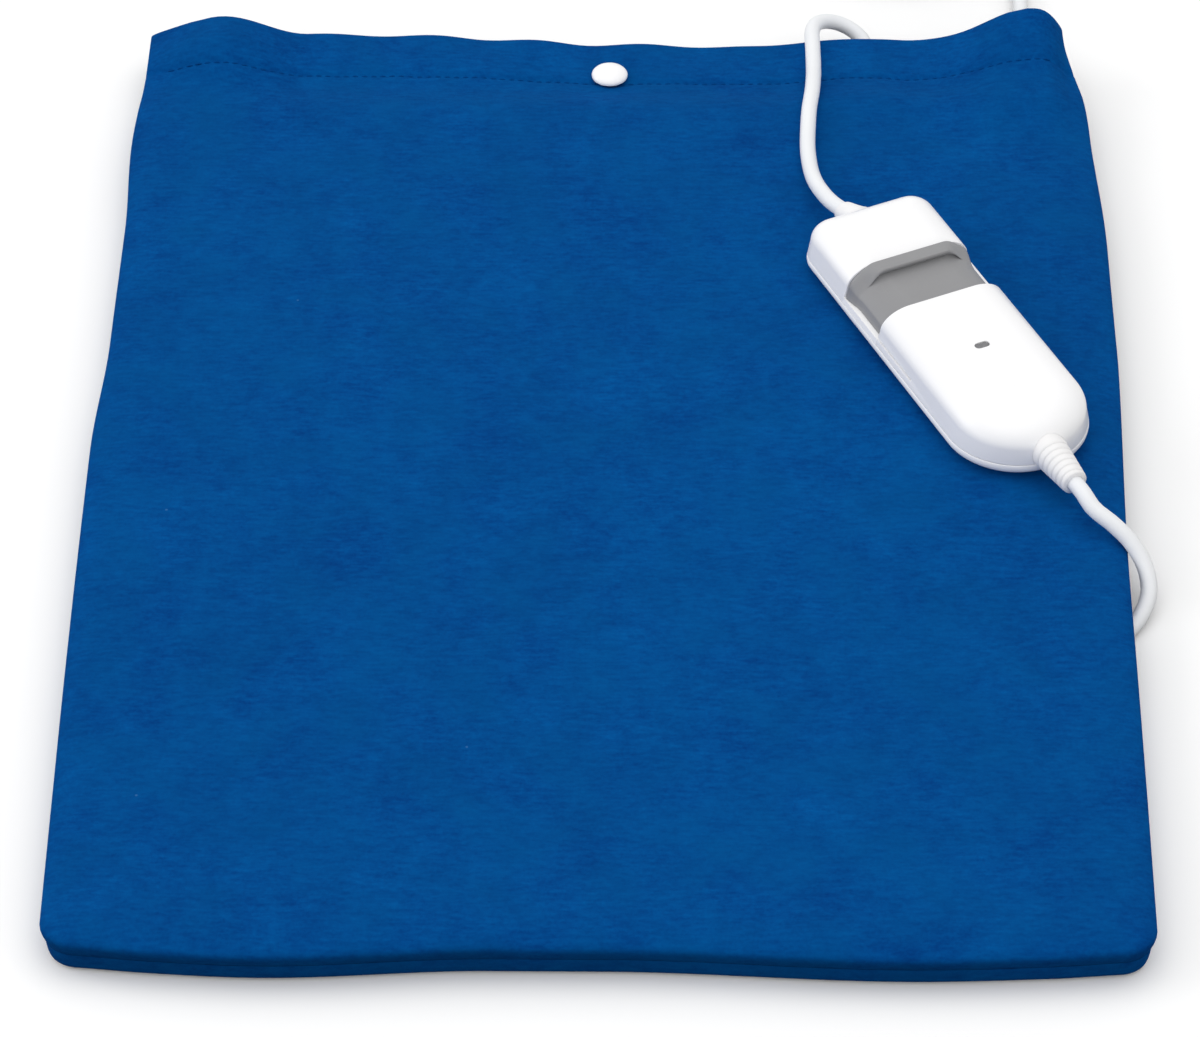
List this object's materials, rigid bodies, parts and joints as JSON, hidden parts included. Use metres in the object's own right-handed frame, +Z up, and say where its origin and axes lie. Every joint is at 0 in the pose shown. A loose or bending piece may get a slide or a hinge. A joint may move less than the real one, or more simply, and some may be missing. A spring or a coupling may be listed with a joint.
{
  "type": "heating pad with controller",
  "caption": "Rectangular heating pad in a soft fabric cover closed by a snap, with a corded hand controller that has a slide switch and an indicator window, a coiled mains lead and a plug.",
  "frame": {"origin": "centre of the cover's plan, on the floor under it", "axes": "+X across the pad to the controller's side, +Y along the pad to the cover's mouth, +Z up"},
  "size_m": [0.3154, 0.5558, 0.0322],
  "materials": {
    "cover_fabric": "soft brushed knit, matte",
    "wadding": "matte felt",
    "white_plastic": "satin moulded",
    "grey_plastic": "satin moulded",
    "cord_vinyl": "smooth matte vinyl",
    "dark_plastic": "matte",
    "circuit_laminate": "satin",
    "brass": "stamped",
    "steel": "plated",
    "brown_wire": "insulation",
    "blue_wire": "insulation",
    "clear_window": "clear",
    "red_lamp": "clear tinted"
  },
  "bodies": {
    "pad": {"cover_upper_panel": "cover_fabric", "cover_lower_panel": "cover_fabric", "cover_lower_hem": "cover_fabric", "lower_wadding": "wadding", "upper_wadding": "wadding", "case_lower_shell": "white_plastic", "case_upper_shell": "white_plastic", "case_hood": "white_plastic", "snap_stud": "white_plastic", "snap_back_cap": "white_plastic", "pad_strain_relief": "white_plastic", "mains_strain_relief": "white_plastic", "plug_body": "white_plastic", "pad_cord_run": "cord_vinyl", "pad_cord_inner": "cord_vinyl", "mains_cord_run": "cord_vinyl", "mains_cord_coil": "cord_vinyl", "mains_cord_tail": "cord_vinyl", "pad_gland": "cord_vinyl", "heating_wire": "dark_plastic", "thermal_cutout": "dark_plastic", "switch_base": "dark_plastic", "half_wave_diode": "dark_plastic", "pad_cord_clamp": "dark_plastic", "mains_cord_clamp": "dark_plastic", "coil_tie": "dark_plastic", "circuit_board": "circuit_laminate", "wire_crimp": "brass", "fixed_contact_0": "brass", "fixed_contact_1": "brass", "fixed_contact_2": "brass", "fixed_contact_3": "brass", "case_screw_1": "steel", "case_screw_2": "steel", "case_screw_3": "steel", "case_screw_4": "steel", "plug_pin_left": "steel", "plug_pin_right": "steel", "pad_lead_live": "brown_wire", "pad_core_live": "brown_wire", "mains_core_live": "brown_wire", "lamp_resistor": "brown_wire", "pad_lead_neutral": "blue_wire", "pad_core_neutral": "blue_wire", "mains_core_neutral": "blue_wire", "lamp_window": "clear_window", "board_fuse": "clear_window", "indicator_lamp": "red_lamp"},
    "switch": {"slider": "grey_plastic", "contact_carriage": "dark_plastic", "wiper_left": "brass", "wiper_right": "brass", "detent_spring": "steel"},
    "mouth": {"cover_upper_hem": "cover_fabric", "snap_cap": "white_plastic", "snap_socket": "white_plastic", "pad_cord_loop": "cord_vinyl"}
  },
  "joints": [
    {"name": "switch_slide", "type": "slide", "parent": "pad", "child": "switch", "axis": [0.4305, -0.9026, 0], "range_m": [0, 0.0135]},
    {"name": "mouth_lift", "type": "slide", "parent": "pad", "child": "mouth", "axis": [0, 0, 1], "range_m": [0, 0.006]}
  ]
}
